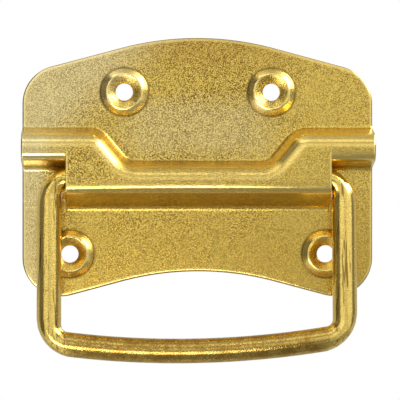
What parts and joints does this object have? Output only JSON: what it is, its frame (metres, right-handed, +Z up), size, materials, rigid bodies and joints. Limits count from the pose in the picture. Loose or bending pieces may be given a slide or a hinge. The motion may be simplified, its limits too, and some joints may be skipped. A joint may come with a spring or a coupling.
{
  "type": "chest handle",
  "caption": "Pressed sheet-metal chest handle: a screw-on back plate with a raised ridge that carries a drop bail bent from round rod.",
  "frame": {"origin": "midway between the two upper screw holes, on the plane of the wall", "axes": "+X to the right seen from the front, +Y into the wall, +Z up"},
  "size_m": [0.1, 0.0118, 0.0924],
  "materials": {
    "plate_finish": "satin",
    "bail_finish": "satin"
  },
  "bodies": {
    "plate": {"back_plate": "plate_finish"},
    "bail": {"bail_handle": "bail_finish"}
  },
  "joints": [
    {"name": "bail_hinge", "type": "hinge", "parent": "plate", "child": "bail", "pos_m": [0, -0.0047, -0.0246], "axis": [-1, 0, 0], "range_deg": [0, 100]}
  ]
}
